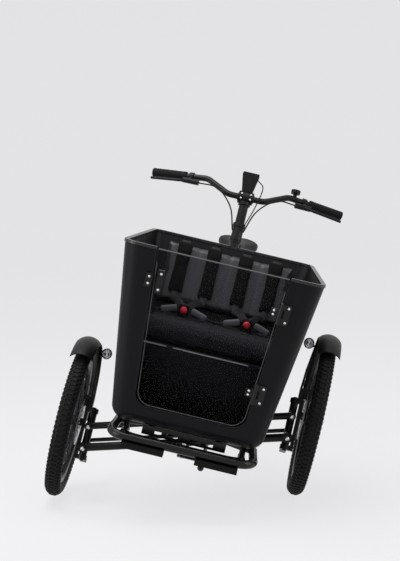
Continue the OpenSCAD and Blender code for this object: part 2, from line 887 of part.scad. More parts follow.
module rear_disc() {
    color("#a9adb1") leaned() translate([59, wheelbase, rear_r]) disc();
}

// Spindle, two arms and the big pulley
module crankset() {
    color("#222427") leaned() {
        across(0, bb[1], bb[2], 11, 164);
        across(belt_x, bb[1], bb[2], belt_big, 12);
        for (s = [-1, 1]) {
            translate([s * 76 - 7, bb[1] - 15, bb[2] - 15]) cube([14, 30, 30]);
            translate([s * 76 - 6, bb[1] - (s > 0 ? 170 : 0), bb[2] - 11]) cube([12, 170, 22]);
            across(s * 76, bb[1] - s * 170, bb[2], 13, 14);
            across(s * 112, bb[1] - s * 170, bb[2], 5.9, 76);
        }
    }
}

module pedals() {
    color("#18191b") leaned() for (s = [-1, 1]) difference() {
        translate([s * 130 - 42, bb[1] - s * 170 - 46, bb[2] - 12]) cube([84, 92, 24]);
        across(s * 130, bb[1] - s * 170, bb[2], 6, 120);
    }
}

// Clear door in the box's front
module door_panel() {
    color([0.3, 0.33, 0.35, 0.5]) leaned() at_face() difference() {
        door_outline(0, 2 * door_t);
        translate([-400, -60, -100]) cube([800, 60, 1200]);
        translate([-400, -60, door_z0 + door_h + 2]) cube([800, 160, 100]);
    }
}

// Hinge leaves and latch on the door
module door_hardware() {
    color("#141516") leaned() {
        for (h = [hinge_low, hinge_high]) at_hinge() translate([0, 0, h + 20.5]) difference() {
            union() {
                cylinder(h = 25, r = 6.5);
                translate([-30, 1.5, 0]) cube([28, 5.4, 25]);
            }
            translate([0, 0, -1]) cylinder(h = 40, r = 3.05);
        }
        at_face() translate([-door_low / 2 - 16, -9, door_z0 + 356]) cube([20, 8.7, 74]);
    }
}

main_frame();
tilt_frame();
rear_frame();
box_shell();
box_rim();
floor_mat();
bench();
seat_cushion();
seat_back();
shoulder_pads();
lap_pads();
buckles();
buckle_buttons();
door_fittings();
front_bumper();
bumper_steps();
motor();
battery();
seat_post();
saddle();
rear_fender();
rear_lamp();
drive_belt();
rear_calliper();
steering_column();
handlebar();
grips();
brake_levers();
display_holder();
bell();
hoses();
drag_link();
steering_idler();
rod_shackle();
track_rod();
lower_beam();
upper_beam();
upright_left();
upright_right();
knuckle_left();
knuckle_right();
calliper_left();
calliper_right();
fender_left();
fender_right();
headlamp_left();
headlamp_right();
tyre_left();
tyre_right();
wheel_left();
wheel_right();
disc_left();
disc_right();
rear_tyre();
rear_wheel();
rear_disc();
crankset();
pedals();
door_panel();
door_hardware();
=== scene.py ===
import math

import bmesh
import bpy
from mathutils import Matrix, Vector


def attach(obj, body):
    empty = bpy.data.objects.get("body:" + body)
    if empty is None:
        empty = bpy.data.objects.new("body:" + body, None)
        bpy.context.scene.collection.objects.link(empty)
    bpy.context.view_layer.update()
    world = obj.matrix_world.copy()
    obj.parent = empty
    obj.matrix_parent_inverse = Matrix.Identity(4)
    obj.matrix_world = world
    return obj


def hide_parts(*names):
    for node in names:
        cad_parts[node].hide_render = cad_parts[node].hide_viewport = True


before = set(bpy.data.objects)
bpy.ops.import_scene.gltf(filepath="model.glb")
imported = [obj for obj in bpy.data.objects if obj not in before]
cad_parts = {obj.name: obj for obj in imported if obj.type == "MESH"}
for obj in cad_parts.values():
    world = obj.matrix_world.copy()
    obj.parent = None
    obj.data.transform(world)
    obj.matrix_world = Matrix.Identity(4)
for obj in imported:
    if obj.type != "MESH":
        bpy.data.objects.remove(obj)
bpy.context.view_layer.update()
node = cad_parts
scene = bpy.context.scene
scene.view_settings.view_transform = "Standard"

# Sizes of the tricycle, in metres, as in its source
LEAN = math.radians(14)
CASTER = math.radians(18)
RHO = 0.0285
FRONT_R = 0.260
REAR_R = 0.3365
WHEELBASE = 1.330
HALF_TRACK = 0.405
KING_X = 0.340
BOX_Z0, BOX_Z1 = 0.268, 0.822
NOSE, NOSE0, BACK, WALL = 0.400, 0.350, 0.370, 0.008
CLAMP_Z = 1.005
BAR_RISE = 0.043
BAR_HALF = 0.3515
COLUMN_Y = BACK + 0.048
WELL_Z, BENCH_RISE = 0.365, 0.125
SEAT_Z = WELL_Z + WALL + BENCH_RISE
SEAT_TOP = Vector((0, 1.000, 0.720))
DOOR_TOP, DOOR_LOW, DOOR_Z0, DOOR_GAP = 0.410, 0.347, 0.068, 0.005
HINGE_OUT = 0.007
HINGE_HEIGHTS = (0.084, 0.350)
LOW_PIVOT, HIGH_PIVOT = 0.188, 0.258
KING_BEHIND = 0.015
RIM_DEPTH = 0.011
CRANK, PEDAL_X = 0.170, 0.130
CHILDREN = (-0.110, 0.110)
SWING = -math.asin((HALF_TRACK - KING_X) / KING_X * math.sin(LEAN)) - LEAN
FRONT_ROUND, BACK_ROUND, RIM_RISE = 0.05, 0.04, 0.003
FACE_RUN = (NOSE - NOSE0 + FRONT_ROUND, BOX_Z1 - BOX_Z0 - FRONT_ROUND)
FACE_TILT = math.atan(FACE_RUN[0] / FACE_RUN[1]) - math.asin(FRONT_ROUND / math.hypot(*FACE_RUN))
FACE_H = (BOX_Z1 - BOX_Z0) / math.cos(FACE_TILT)
DOOR_H = FACE_H - DOOR_Z0
DOOR_EDGE = math.atan((DOOR_TOP - DOOR_LOW) / 2 / DOOR_H)


# Places on the leaned tricycle

def move(x, y, z):
    return Matrix.Translation((x, y, z))


def turn(angle, axis):
    return Matrix.Rotation(angle, 4, axis)


STAND_X, STAND_Y = -0.080, -0.64025
LEANED = move(STAND_X, STAND_Y, RHO) @ turn(LEAN, "Y") @ move(0, 0, -RHO)
COLUMN_TOP = LEANED @ move(0, COLUMN_Y + (CLAMP_Z - BOX_Z1) * math.tan(CASTER), CLAMP_Z) @ turn(-CASTER, "X")
FACE = LEANED @ move(0, (BOX_Z1 - BOX_Z0) * math.tan(FACE_TILT) - NOSE, BOX_Z0) @ turn(FACE_TILT, "X")
HINGE = FACE @ move(DOOR_LOW / 2 + DOOR_GAP / 2, -HINGE_OUT, DOOR_Z0) @ turn(DOOR_EDGE, "Y")


def carried(side):
    return LEANED @ move(side * KING_X * (math.cos(SWING) - 1), 0, -side * KING_X * math.sin(SWING))


BACK_RUN = ((BOX_Z1 - BOX_Z0) * math.tan(CASTER) - WALL + BACK_ROUND,
            BOX_Z1 + RIM_RISE - BOX_Z0 - BACK_ROUND)
BACK_TILT = math.atan(BACK_RUN[0] / BACK_RUN[1]) - math.asin((BACK_ROUND - WALL) / math.hypot(*BACK_RUN))


def inner_back(z):
    return BACK - WALL - (BOX_Z1 + RIM_RISE - z) * math.tan(BACK_TILT)


def on_back(z, out):
    # On the inside of the sloped back, at a height and a distance from it
    return LEANED @ move(0, inner_back(z) - out / math.cos(BACK_TILT), z) @ turn(-BACK_TILT, "X")


def front_hub(side):
    return carried(side) @ move(side * HALF_TRACK, 0, FRONT_R)


def around(count, start=0):
    # Even angles round a circle
    return [math.tau * (k + start) / count for k in range(count)]


REAR_HUB = LEANED @ move(0, WHEELBASE, REAR_R)
SIDES = (("left", 1), ("right", -1))
FRONT_SPOKES, REAR_SPOKES = 28, 32


# Finishes

def texture(tree, kind, where, **values):
    made = tree.nodes.new(kind)
    for label, value in values.items():
        made.inputs[label.replace("_", " ")].default_value = value
    tree.links.new(where, made.inputs["Vector"])
    return made


def finish(name, dark, light, rough, metal=0.0, patch=7.0, grain=700.0, bump=0.03, depth=0.0006,
           edge=0.0, pattern="noise", shine=0.3):
    mat = bpy.data.materials.new(name)
    mat.use_nodes = True
    tree = mat.node_tree
    skin = tree.nodes["Principled BSDF"]
    skin.inputs["Metallic"].default_value = metal
    skin.inputs["Specular IOR Level"].default_value = shine
    where = tree.nodes.new("ShaderNodeTexCoord").outputs["Object"]
    if dark == light:
        skin.inputs["Base Color"].default_value = (*dark, 1)
    else:
        cloud = texture(tree, "ShaderNodeTexNoise", where, Scale=patch, Detail=5.0, Roughness=0.6)
        tone = tree.nodes.new("ShaderNodeMix")
        tone.data_type = "RGBA"
        tone.inputs["A"].default_value = (*dark, 1)
        tone.inputs["B"].default_value = (*light, 1)
        tree.links.new(cloud.outputs["Fac"], tone.inputs["Factor"])
        tree.links.new(tone.outputs["Result"], skin.inputs["Base Color"])
    dull = tree.nodes.new("ShaderNodeMapRange")
    dull.inputs["To Min"].default_value = rough[0]
    dull.inputs["To Max"].default_value = rough[1]
    smear = texture(tree, "ShaderNodeTexNoise", where, Scale=patch * 4, Detail=3.0)
    tree.links.new(smear.outputs["Fac"], dull.inputs["Value"])
    tree.links.new(dull.outputs["Result"], skin.inputs["Roughness"])
    if pattern == "noise":
        fine = texture(tree, "ShaderNodeTexNoise", where, Scale=grain, Detail=2.0).outputs["Fac"]
    elif pattern == "pebble":
        fine = texture(tree, "ShaderNodeTexVoronoi", where, Scale=grain).outputs["Distance"]
    else:
        fine = woven(tree, where, grain)
    rise = tree.nodes.new("ShaderNodeBump")
    rise.inputs["Strength"].default_value = bump
    rise.inputs["Distance"].default_value = depth
    tree.links.new(fine, rise.inputs["Height"])
    if edge:
        soft = tree.nodes.new("ShaderNodeBevel")
        soft.samples = 4
        soft.inputs["Radius"].default_value = edge
        tree.links.new(soft.outputs["Normal"], rise.inputs["Normal"])
    tree.links.new(rise.outputs["Normal"], skin.inputs["Normal"])
    return mat


def woven(tree, where, grain):
    # Crossed threads: two sets of bands, one over the other
    sets = []
    for angle in (0.0, math.pi / 2):
        lay = tree.nodes.new("ShaderNodeMapping")
        lay.inputs["Rotation"].default_value = (0.6, 0.5, angle)
        tree.links.new(where, lay.inputs["Vector"])
        band = texture(tree, "ShaderNodeTexWave", lay.outputs["Vector"], Scale=grain, Distortion=3.0,
                       Detail=2.0)
        sets.append(band.outputs["Fac"])
    over = tree.nodes.new("ShaderNodeMath")
    over.operation = "MAXIMUM"
    tree.links.new(sets[0], over.inputs[0])
    tree.links.new(sets[1], over.inputs[1])
    return over.outputs["Value"]


frame_paint = finish("frame_paint", (0.0035, 0.0035, 0.0042), (0.0065, 0.0065, 0.0075), (0.28, 0.42),
                     edge=0.0016, shine=0.24)
box_skin = finish("box_skin", (0.0042, 0.0042, 0.0055), (0.0070, 0.0068, 0.0088), (0.36, 0.5), patch=3.5,
                  grain=1100, bump=0.10, depth=0.0003, pattern="pebble", shine=0.16)
trim_black = finish("trim_black", (0.0040, 0.0040, 0.0047), (0.0075, 0.0075, 0.0085), (0.36, 0.5), grain=1300,
                    bump=0.06, edge=0.0012, shine=0.16)
rim_satin = finish("rim_satin", (0.0060, 0.0060, 0.0070), (0.0110, 0.0110, 0.0125), (0.22, 0.34),
                   grain=1300, bump=0.04, edge=0.0014, shine=0.5)
tube_black = finish("tube_black", (0.0030, 0.0030, 0.0035), (0.0058, 0.0058, 0.0066), (0.16, 0.28),
                    edge=0.0012, shine=0.3)
black_alloy = finish("black_alloy", (0.012, 0.012, 0.0135), (0.022, 0.0225, 0.0245), (0.26, 0.4), metal=0.75,
                     grain=1800, edge=0.0008)
rubber = finish("rubber", (0.0050, 0.0050, 0.0055), (0.0095, 0.0095, 0.0100), (0.62, 0.78), grain=900,
                bump=0.12, shine=0.16)
tread_rubber = finish("tread_rubber", (0.0070, 0.0070, 0.0075), (0.0150, 0.0150, 0.0158), (0.6, 0.82),
                      patch=16, grain=650, bump=0.18, shine=0.2)
disc_steel = finish("disc_steel", (0.30, 0.305, 0.31), (0.46, 0.465, 0.47), (0.24, 0.36), metal=1.0,
                    grain=2400, bump=0.05)
bolt_steel = finish("bolt_steel", (0.60, 0.60, 0.61), (0.76, 0.76, 0.77), (0.2, 0.3), metal=1.0, grain=2000)
seat_cloth = finish("seat_cloth", (0.0070, 0.0073, 0.0098), (0.0130, 0.0135, 0.0172), (0.75, 0.92),
                    patch=12, grain=260, bump=0.05, depth=0.0003, pattern="weave")
leatherette = finish("leatherette", (0.026, 0.0265, 0.031), (0.050, 0.051, 0.057), (0.30, 0.42), patch=9,
                     grain=520, bump=0.03, depth=0.0003, pattern="pebble", shine=0.5)
pad_cloth = finish("pad_cloth", (0.0026, 0.0026, 0.0032), (0.0055, 0.0055, 0.0064), (0.85, 0.98), patch=20,
                   grain=300, bump=0.06, depth=0.0003, pattern="weave", shine=0.2)
lap_cloth = finish("lap_cloth", (0.120, 0.122, 0.130), (0.185, 0.188, 0.198), (0.75, 0.9), patch=20,
                   grain=300, bump=0.06, depth=0.0003, pattern="weave")
webbing = finish("webbing", (0.0055, 0.0055, 0.0065), (0.0115, 0.0115, 0.0130), (0.55, 0.7), patch=30,
                 grain=380, bump=0.08, depth=0.0003, pattern="weave")
saddle_skin = finish("saddle_skin", (0.0040, 0.0040, 0.0046), (0.0080, 0.0080, 0.0088), (0.40, 0.54),
                     patch=12, grain=800, bump=0.12, pattern="pebble", shine=0.12)
button_red = finish("button_red", (0.86, 0.028, 0.050), (0.96, 0.040, 0.066), (0.25, 0.35), grain=1500,
                    shine=0.5)
lamp_red = finish("lamp_red", (0.26, 0.004, 0.006), (0.34, 0.006, 0.008), (0.08, 0.14), grain=1500, shine=0.5)
black_glass = finish("black_glass", (0.0020, 0.0020, 0.0026), (0.0032, 0.0032, 0.0040), (0.03, 0.07),
                     grain=60, bump=0.004, shine=0.5)
# Pale grey that paints highlights on the door's edges
painted_highlight_grey = finish("painted_highlight_grey", (0.070, 0.070, 0.076), (0.130, 0.130, 0.138), (0.18, 0.3), patch=14,
                   grain=900, shine=0.5)
# Pale grey that paints a highlight along the bench's front edge
painted_highlight_strip = finish("painted_highlight_strip", (0.34, 0.34, 0.35), (0.46, 0.46, 0.47), (0.25, 0.38), grain=900, shine=0.5)
mirror_bowl = finish("mirror_bowl", (0.55, 0.55, 0.56), (0.65, 0.65, 0.66), (0.08, 0.14), metal=1.0,
                     grain=900)


def clear(name, tint, rough, index):
    # See-through sheet with faint streaks in its gloss
    mat = finish(name, tint, tint, rough, patch=5, grain=30, bump=0.006, depth=0.0004, shine=0.5)
    skin = mat.node_tree.nodes["Principled BSDF"]
    skin.inputs["Transmission Weight"].default_value = 1.0
    skin.inputs["IOR"].default_value = index
    return mat


smoked = clear("smoked", (0.66, 0.66, 0.69), (0.0, 0.015), 1.08)
lens_clear = clear("lens_clear", (0.92, 0.93, 0.94), (0.02, 0.05), 1.45)

CARRIED = {frame_paint: ("main_frame", "tilt_frame", "rear_frame", "lower_beam", "upper_beam",
                         "upright_left", "upright_right", "knuckle_left", "knuckle_right",
                         "steering_column"), box_skin: ("box_shell", "bench"), rim_satin: ("box_rim",),
           trim_black: ("buckles", "battery", "rear_fender", "display_holder", "bell", "fender_left",
                        "fender_right", "pedals", "headlamp_left", "headlamp_right"),
           tube_black: ("front_bumper", "door_fittings", "door_hardware", "drag_link", "steering_idler",
                        "rod_shackle", "track_rod", "handlebar"),
           black_alloy: ("motor", "seat_post", "rear_calliper", "brake_levers", "calliper_left",
                         "calliper_right", "wheel_left", "wheel_right", "rear_wheel", "crankset"),
           rubber: ("floor_mat", "bumper_steps", "drive_belt", "hoses", "grips"),
           tread_rubber: ("tyre_left", "tyre_right", "rear_tyre"),
           disc_steel: ("disc_left", "disc_right", "rear_disc"), seat_cloth: ("seat_cushion",),
           leatherette: ("seat_back",), pad_cloth: ("shoulder_pads",), lap_cloth: ("lap_pads",),
           saddle_skin: ("saddle",), button_red: ("buckle_buttons",), lamp_red: ("rear_lamp",),
           smoked: ("door_panel",), }
for skin, names in CARRIED.items():
    for name in names:
        node[name].material_slots[0].material = skin


# Making meshes
CREASE = math.radians(38)


def piece(name, shape, skin, body, place=None, smooth=True):
    if isinstance(shape, bmesh.types.BMesh):
        mesh = bpy.data.meshes.new(name)
        bmesh.ops.remove_doubles(shape, verts=shape.verts, dist=1e-6)
        bmesh.ops.recalc_face_normals(shape, faces=shape.faces)
        shape.to_mesh(mesh)
        shape.free()
    else:
        mesh = shape
        mesh.name = name
    if place is not None:
        mesh.transform(place)
    if not mesh.materials:
        mesh.materials.append(skin)
    for face in mesh.polygons:
        face.use_smooth = smooth
    made = bpy.data.objects.new(name, mesh)
    scene.collection.objects.link(made)
    if smooth:
        mesh.set_sharp_from_angle(angle=CREASE)
    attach(made, body)
    return made


def turned(profile, steps, shape=None, place=None):
    # Lathe work about Z: pairs of radius and height
    shape = shape or bmesh.new()
    place = place or Matrix.Identity(4)
    rings = []
    for r, h in profile:
        if r < 1e-7:
            rings.append([shape.verts.new(place @ Vector((0, 0, h)))])
        else:
            rings.append([shape.verts.new(place @ Vector((r * math.cos(a), r * math.sin(a), h)))
                          for a in around(steps)])
    for low, high in zip(rings, rings[1:]):
        for i in range(max(len(low), len(high))):
            j = (i + 1) % steps
            corners = [low[i % len(low)], low[j % len(low)], high[j % len(high)], high[i % len(high)]]
            face = list(dict.fromkeys(corners))
            if len(face) > 2:
                shape.faces.new(face)
    return shape


def lofted(rings, shape=None):
    # Skin over rings of points, closed at both ends
    shape = shape or bmesh.new()
    made = [[shape.verts.new(p) for p in ring] for ring in rings]
    count = len(made[0])
    for low, high in zip(made, made[1:]):
        for i in range(count):
            j = (i + 1) % count
            shape.faces.new((low[i], low[j], high[j], high[i]))
    shape.faces.new(made[0])
    shape.faces.new(made[-1][::-1])
    return shape


def smooth_path(points, steps):
    # Rounded run through the points
    out = []
    ends = [points[0] * 2 - points[1]] + list(points) + [points[-1] * 2 - points[-2]]
    for i in range(1, len(ends) - 2):
        a, b, c, d = ends[i - 1:i + 3]
        for k in range(steps):
            t = k / steps
            out.append(0.5 * ((2 * b) + (c - a) * t + (2 * a - 5 * b + 4 * c - d) * t * t
                              + (3 * b - a - 3 * c + d) * t ** 3))
    out.append(points[-1])
    return out


def ribbon(points, facing, width, thick, shape):
    # Flat webbing along a path, its broad face towards facing, thinner at the rims
    rim = 0.86
    rings = []
    for i, p in enumerate(points):
        way = (points[min(i + 1, len(points) - 1)] - points[max(i - 1, 0)]).normalized()
        side = way.cross(facing).normalized() * width / 2
        out = side.cross(way).normalized() * thick / 2
        rings.append([p + side, p + side * rim + out, p - side * rim + out, p - side,
                      p - side * rim - out, p + side * rim - out])
    return lofted(rings, shape)


def tube(points, radius, shape=None, sides=10):
    rings = []
    hint = Vector((0.3, 0.2, 0.9))
    for i, p in enumerate(points):
        way = (points[min(i + 1, len(points) - 1)] - points[max(i - 1, 0)]).normalized()
        u = way.cross(hint).normalized()
        hint = u.cross(way)
        rings.append([p + (u * math.cos(a) + hint * math.sin(a)) * radius
                      for a in around(sides)])
    return lofted(rings, shape)


# Repeating pieces: on a ring and at marked points

def grown(name, inputs, build):
    tree = bpy.data.node_groups.new(name, "GeometryNodeTree")
    tree.interface.new_socket("Geometry", in_out="OUTPUT", socket_type="NodeSocketGeometry")
    tree.interface.new_socket("Geometry", in_out="INPUT", socket_type="NodeSocketGeometry")
    for label, kind in inputs:
        tree.interface.new_socket(label, in_out="INPUT", socket_type="NodeSocket" + kind)
    given = tree.nodes.new("NodeGroupInput").outputs
    points, rotation = build(tree, given)
    item = tree.nodes.new("GeometryNodeObjectInfo")
    tree.links.new(given["Item"], item.inputs["Object"])
    copies = tree.nodes.new("GeometryNodeInstanceOnPoints")
    tree.links.new(points, copies.inputs["Points"])
    tree.links.new(item.outputs["Geometry"], copies.inputs["Instance"])
    tree.links.new(rotation, copies.inputs["Rotation"])
    real = tree.nodes.new("GeometryNodeRealizeInstances")
    tree.links.new(copies.outputs["Instances"], real.inputs["Geometry"])
    coat = tree.nodes.new("GeometryNodeSetMaterial")
    tree.links.new(real.outputs["Geometry"], coat.inputs["Geometry"])
    tree.links.new(given["Finish"], coat.inputs["Material"])
    tree.links.new(coat.outputs["Geometry"], tree.nodes.new("NodeGroupOutput").inputs["Geometry"])
    return tree


def sum_node(tree, operation, a, b=None):
    made = tree.nodes.new("ShaderNodeMath")
    made.operation = operation
    for slot, value in enumerate((a, b)):
        if isinstance(value, (int, float)):
            made.inputs[slot].default_value = value
        elif value is not None:
            tree.links.new(value, made.inputs[slot])
    return made.outputs["Value"]


def build_ring(tree, given):
    points = tree.nodes.new("GeometryNodePoints")
    tree.links.new(given["Count"], points.inputs["Count"])
    share = sum_node(tree, "DIVIDE", tree.nodes.new("GeometryNodeInputIndex").outputs["Index"],
                     given["Count"])
    angle = sum_node(tree, "ADD", sum_node(tree, "MULTIPLY", share, math.tau), given["Phase"])
    place = tree.nodes.new("ShaderNodeCombineXYZ")
    tree.links.new(given["Offset"], place.inputs["X"])
    for axis, wave in (("Y", "SINE"), ("Z", "COSINE")):
        reach = sum_node(tree, "MULTIPLY", sum_node(tree, wave, angle), given["Ring"])
        tree.links.new(reach, place.inputs[axis])
    tree.links.new(place.outputs["Vector"], points.inputs["Position"])
    turns = []
    for axis, value in (("X", sum_node(tree, "MULTIPLY", angle, -1.0)), ("Y", given["Cant"])):
        spin = tree.nodes.new("ShaderNodeCombineXYZ")
        tree.links.new(value, spin.inputs[axis])
        made = tree.nodes.new("FunctionNodeEulerToRotation")
        tree.links.new(spin.outputs["Vector"], made.inputs["Euler"])
        turns.append(made.outputs["Rotation"])
    both = tree.nodes.new("FunctionNodeRotateRotation")
    both.rotation_space = "LOCAL"
    tree.links.new(turns[0], both.inputs["Rotation"])
    tree.links.new(turns[1], both.inputs["Rotate By"])
    return points.outputs["Points"], both.outputs["Rotation"]


def build_marks(tree, given):
    facing = tree.nodes.new("GeometryNodeInputNamedAttribute")
    facing.data_type = "FLOAT_VECTOR"
    facing.inputs["Name"].default_value = "facing"
    aim = tree.nodes.new("FunctionNodeAlignRotationToVector")
    aim.axis = "Z"
    tree.links.new(facing.outputs["Attribute"], aim.inputs["Vector"])
    return given["Geometry"], aim.outputs["Rotation"]


COMMON = [("Item", "Object"), ("Finish", "Material")]
ring_tree = grown("pieces on a ring", COMMON + [("Count", "Int"), ("Ring", "Float"), ("Offset", "Float"),
                                                ("Cant", "Float"), ("Phase", "Float")], build_ring)
mark_tree = grown("pieces at marks", COMMON, build_marks)


def spread(tree, mesh, item, skin, **values):
    # One run of a tree, as a plain mesh
    host = bpy.data.objects.new("host", mesh)
    scene.collection.objects.link(host)
    run = host.modifiers.new("run", "NODES")
    run.node_group = tree
    values.update(Item=item, Finish=skin)
    for socket in tree.interface.items_tree:
        if socket.in_out == "INPUT" and socket.name in values:
            run[socket.identifier] = values[socket.name]
    graph = bpy.context.evaluated_depsgraph_get()
    plain = bpy.data.meshes.new_from_object(host.evaluated_get(graph), depsgraph=graph)
    bpy.data.objects.remove(host)
    return plain


def repeated(shape):
    # Small mesh that a tree repeats, kept out of the scene
    mesh = bpy.data.meshes.new("item")
    bmesh.ops.recalc_face_normals(shape, faces=shape.faces)
    shape.to_mesh(mesh)
    shape.free()
    return bpy.data.objects.new("item", mesh)


def merged(meshes, place):
    whole = bmesh.new()
    for mesh in meshes:
        whole.from_mesh(mesh)
    out = bpy.data.meshes.new("merged")
    whole.to_mesh(out)
    whole.free()
    for skin in meshes[0].materials:
        out.materials.append(skin)
    out.transform(place)
    return out


def marks(places):
    # Points with a direction each
    mesh = bpy.data.meshes.new("marks")
    mesh.from_pydata([p for p, d in places], [], [])
    facing = mesh.attributes.new("facing", "FLOAT_VECTOR", "POINT")
    for i, (p, d) in enumerate(places):
        facing.data[i].vector = d
    return mesh


BOLT_SIDES = 18


def button_bolt(r):
    # Domed head with a round socket
    shape = turned([(r, -0.0004), (r, r * 0.2), (r * 0.86, r * 0.5), (r * 0.58, r * 0.66)], BOLT_SIDES)
    rim = [v for v in shape.verts if v.co.z > r * 0.65]
    rim.sort(key=lambda v: math.atan2(v.co.y, v.co.x))
    low = [shape.verts.new((r * 0.48 * math.cos(a), r * 0.48 * math.sin(a), r * 0.28))
           for a in around(BOLT_SIDES)]
    low.sort(key=lambda v: math.atan2(v.co.y, v.co.x))
    for i in range(BOLT_SIDES):
        j = (i + 1) % BOLT_SIDES
        shape.faces.new((rim[i], rim[j], low[j], low[i]))
    shape.faces.new(low)
    return repeated(shape)


# Camera at the photograph's angle
PHOTO_ROWS, FOCAL_ROWS, SENSOR = 561, 1492.3, 36
EYE = (0.311, -5.575, 1.138)
yaw, pitch, roll = (math.radians(a) for a in (-3.44, 4.85, -0.89))
ahead = Vector((math.sin(yaw) * math.cos(pitch), math.cos(yaw) * math.cos(pitch), -math.sin(pitch)))
across = Vector((math.cos(yaw), -math.sin(yaw), 0))
above = across.cross(ahead)
axes = (across * math.cos(roll) + above * math.sin(roll),
        above * math.cos(roll) - across * math.sin(roll),
        -ahead)
eye = bpy.data.objects.new("eye", bpy.data.cameras.new("eye"))
scene.collection.objects.link(eye)
eye.data.sensor_fit = "VERTICAL"
eye.data.sensor_height = SENSOR
eye.data.lens = FOCAL_ROWS / PHOTO_ROWS * SENSOR
eye.matrix_world = move(*EYE) @ Matrix(axes).transposed().to_4x4()
scene.camera = eye


# Hoses and cable from the bar to the column's sleeve
HOSE_R, CABLE_R = 0.0025, 0.002


def hose(name, points, radius):
    path = smooth_path([COLUMN_TOP @ Vector(p) for p in points], 12)
    line = bpy.data.curves.new(name, "CURVE")
    line.dimensions = "3D"
    line.bevel_depth = radius
    line.bevel_resolution = 3
    line.use_fill_caps = True
    run = line.splines.new("POLY")
    run.points.add(len(path) - 1)
    for knot, p in zip(run.points, path):
        knot.co = (*p, 1)
    line.materials.append(rubber)
    made = bpy.data.objects.new(name, line)
    scene.collection.objects.link(made)
    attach(made, "bar_unit")
    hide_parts("hoses")


hose("brake_hose_left", [(0.179, -0.003, 0.0144), (0.112, -0.030, 0.006), (0.050, -0.030, -0.050),
                         (0.0194, -0.013, -0.132)], HOSE_R)
hose("brake_hose_right", [(-0.179, -0.003, 0.0144), (-0.106, -0.028, 0.004), (-0.046, -0.030, -0.054),
                          (-0.0194, -0.013, -0.132)], HOSE_R)
hose("display_cable", [(0.030, -0.0066, 0.072), (0.053, -0.024, 0.040), (0.040, -0.030, -0.040),
                       (0.012, -0.0206, -0.128)], CABLE_R)


# Tyres: a hollow carcass and five rows of blocks
SKIN_R, SKIN_T = 0.0258, 0.004
TYRE_ARC, ARC_STEPS, TYRE_STEPS = 2.41, 26, 96
# Fine ridges on the walls, by step of the arc
RIDGES = {5: 0.0007, 7: 0.0005, 19: 0.0005, 21: 0.0007}
BLOCK_ROOT, BLOCK_TOP = -0.0012, RHO - SKIN_R - 0.0002
# Each row's cant, block width, block length and share of a step ahead
TREAD_ROWS = ((0, 0.021, 0.0085, 0), (0.52, 0.011, 0.0095, 0.5), (-0.52, 0.011, 0.0095, 0.5),
              (0.98, 0.012, 0.0105, 0), (-0.98, 0.012, 0.0105, 0))
FRONT_BLOCKS, REAR_BLOCKS = 96, 124


def tread_block(wide, length, base, top):
    rings = []
    for h, share in ((base, 1.0), (top - 0.0006, 0.9), (top, 0.78)):
        rings.append([(sx * wide / 2 * share, sy * length / 2 * share, h)
                      for sx, sy in ((-1, -1), (1, -1), (1, 1), (-1, 1))])
    return repeated(lofted(rings))


def tyre(name, target, body, place, radius, count):
    ring, inside = radius - RHO, SKIN_R - SKIN_T
    arc = [-TYRE_ARC + 2 * TYRE_ARC * k / ARC_STEPS for k in range(ARC_STEPS + 1)]
    outer = [(ring + (SKIN_R + RIDGES.get(k, 0)) * math.cos(a), SKIN_R * math.sin(a))
             for k, a in enumerate(arc)]
    inner = [(ring + inside * math.cos(a), inside * math.sin(a)) for a in reversed(arc)]
    shape = turned(outer + inner + outer[:1], TYRE_STEPS, place=turn(math.pi / 2, "Y"))
    made = piece(name, shape, tread_rubber, body, place)
    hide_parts(target)
    rows = []
    step = math.tau / count
    for cant, wide, length, phase in TREAD_ROWS:
        item = tread_block(wide, length, BLOCK_ROOT, BLOCK_TOP)
        rows.append(spread(ring_tree, bpy.data.meshes.new("none"), item, tread_rubber, Count=count,
                           Ring=ring + SKIN_R * math.cos(cant), Offset=SKIN_R * math.sin(cant), Cant=cant,
                           Phase=phase * step))
    blocks = piece(name + "_tread", merged(rows, place), tread_rubber, body, smooth=False)


for word, side in SIDES:
    tyre("tyre_skin_" + word, "tyre_" + word, "front_wheel_" + word, front_hub(side), FRONT_R, FRONT_BLOCKS)
tyre("tyre_skin_rear", "rear_tyre", "back_wheel", REAR_HUB, REAR_R, REAR_BLOCKS)


# Padded pieces: the solid's shape, blown up by cloth and pulled in along its seams
PRESSURE, CLOTH_STEPS = 3.0, 20


def plump(name, target, skin, voxel, shrink, cap):
    shape = bmesh.new()
    shape.from_mesh(node[target].data)
    bmesh.ops.remove_doubles(shape, verts=shape.verts, dist=1e-5)
    mesh = bpy.data.meshes.new(name)
    shape.to_mesh(mesh)
    shape.free()
    made = bpy.data.objects.new(name, mesh)
    scene.collection.objects.link(made)
    remesh = made.modifiers.new("remesh", "REMESH")
    remesh.mode = "VOXEL"
    remesh.voxel_size = voxel
    even = made.modifiers.new("even", "SMOOTH")
    even.factor = 0.5
    even.iterations = 4
    settle(made)
    start = [v.co - v.normal * shrink for v in made.data.vertices]
    for v, p in zip(made.data.vertices, start):
        v.co = p
    cloth = made.modifiers.new("cloth", "CLOTH")
    cloth.settings.quality = 5
    cloth.settings.mass = 0.3
    cloth.settings.tension_stiffness = 12
    cloth.settings.compression_stiffness = 12
    cloth.settings.shear_stiffness = 6
    cloth.settings.use_pressure = True
    cloth.settings.uniform_pressure_force = PRESSURE
    cloth.settings.effector_weights.gravity = 0
    cloth.collision_settings.use_collision = False
    cloth.point_cache.frame_start = 1
    cloth.point_cache.frame_end = CLOTH_STEPS
    for step in range(1, CLOTH_STEPS + 1):
        scene.frame_set(step)
    settle(made)
    scene.frame_set(1)
    for v, p in zip(made.data.vertices, start):
        shift = v.co - p
        if shift.length > cap:
            v.co = p + shift.normalized() * cap
    made.data.materials.clear()
    made.data.materials.append(skin)
    for face in made.data.polygons:
        face.use_smooth = True
    made.data.update()
    return made


